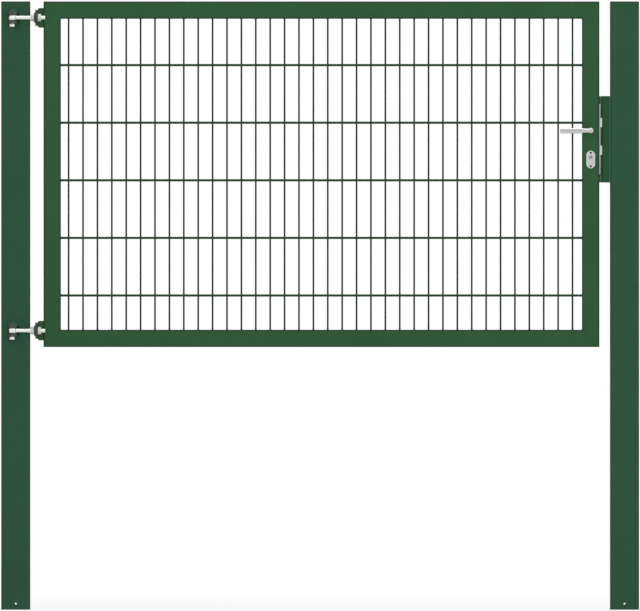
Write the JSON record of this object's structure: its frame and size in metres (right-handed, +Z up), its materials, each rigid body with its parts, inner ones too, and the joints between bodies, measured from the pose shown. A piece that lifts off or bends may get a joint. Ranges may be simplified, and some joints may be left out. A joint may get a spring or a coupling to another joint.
{
  "type": "single fence gate",
  "caption": "Single-leaf garden gate of double-wire mat in a tube frame, hung between two square posts on eyebolt hinges, with lever handles and a mortice lock.",
  "frame": {"origin": "centre of the hinge post's foot, on its lower end face", "axes": "+X along the fence from the hinge post to the latch post, +Y from the hinge side to the stop side, +Z up"},
  "size_m": [2.215, 0.152, 2.112],
  "materials": {
    "post_coating": "dark moss-green powder coat over galvanised steel, satin, with a fine orange-peel texture",
    "clevis_coating": "thin moss-green powder coat, greyed at the edges, over galvanised steel, satin",
    "strike_coating": "dark moss-green powder coat over galvanised steel, satin, with a fine orange-peel texture",
    "leaf_coating": "moss-green powder coat over galvanised steel, satin, with a fine orange-peel texture",
    "mat_coating": "moss-green powder coat on drawn and welded wire, satin",
    "cap_plastic": "moss-green moulded plastic, matte",
    "washer_plastic": "dark grey moulded plastic, matte",
    "buffer_rubber": "black rubber, matte",
    "zinc_plating": "bright zinc plating on machined steel",
    "lever_aluminium": "satin anodised aluminium",
    "lock_steel": "brushed stainless steel",
    "cover_steel": "brushed stainless steel, satin",
    "cylinder_nickel": "satin nickel on machined metal",
    "bolt_steel": "bright zinc-plated steel with a fine milling grain"
  },
  "bodies": {
    "posts": {"hinge_post": "post_coating", "latch_post": "post_coating", "hinge_post_cap": "cap_plastic", "latch_post_cap": "cap_plastic", "upper_hinge_clevis": "clevis_coating", "lower_hinge_clevis": "clevis_coating", "upper_hinge_bolt": "zinc_plating", "lower_hinge_bolt": "zinc_plating", "upper_hinge_spacers": "washer_plastic", "lower_hinge_spacers": "washer_plastic", "strike_box": "strike_coating", "stop_bar": "strike_coating", "stop_buffer": "buffer_rubber"},
    "leaf": {"hinge_stile": "leaf_coating", "lock_stile": "leaf_coating", "top_rail": "leaf_coating", "bottom_rail": "leaf_coating", "wire_mat": "mat_coating", "upper_leaf_bracket": "leaf_coating", "lower_leaf_bracket": "leaf_coating", "upper_eyebolt": "zinc_plating", "lower_eyebolt": "zinc_plating", "upper_post_side_nut": "zinc_plating", "lower_post_side_nut": "zinc_plating", "upper_leaf_side_nut": "zinc_plating", "lower_leaf_side_nut": "zinc_plating", "upper_post_side_washer": "washer_plastic", "lower_post_side_washer": "washer_plastic", "upper_leaf_side_washer": "washer_plastic", "lower_leaf_side_washer": "washer_plastic", "lock_case": "lock_steel", "lock_faceplate": "lock_steel", "front_lock_cover": "cover_steel", "back_lock_cover": "cover_steel", "lock_cylinder": "cylinder_nickel"},
    "handle": {"front_lever": "lever_aluminium", "back_lever": "lever_aluminium", "lever_spindle": "lock_steel"},
    "latch": {"latch_bolt": "bolt_steel"},
    "deadbolt": {"deadbolt": "bolt_steel"},
    "plug": {"key_plug": "cylinder_nickel"}
  },
  "joints": [
    {"name": "gate_swing", "type": "hinge", "parent": "posts", "child": "leaf", "pos_m": [-0.009, -0.073, 1.512], "axis": [0, 0, -1], "range_deg": [0, 180]},
    {"name": "lever_turn", "type": "hinge", "parent": "leaf", "child": "handle", "pos_m": [1.997, -0.03, 1.663], "axis": [0, -1, 0], "range_deg": [0, 40], "stiffness_Nm_per_rad": 1.5, "springref_deg": -17.19},
    {"name": "latch_slide", "type": "slide", "parent": "leaf", "child": "latch", "axis": [-1, 0, 0], "range_m": [0, 0.012]},
    {"name": "key_turn", "type": "hinge", "parent": "leaf", "child": "plug", "pos_m": [1.997, -0.05, 1.571], "axis": [0, 1, 0], "range_deg": [0, 360]},
    {"name": "deadbolt_slide", "type": "slide", "parent": "leaf", "child": "deadbolt", "axis": [-1, 0, 0], "range_m": [0, 0.02]}
  ],
  "couplings": [
    {"joint": "latch_slide", "follows": "lever_turn", "m_per_rad": 0.01718},
    {"joint": "key_turn", "follows": "deadbolt_slide", "rad_per_m": 314.15}
  ]
}
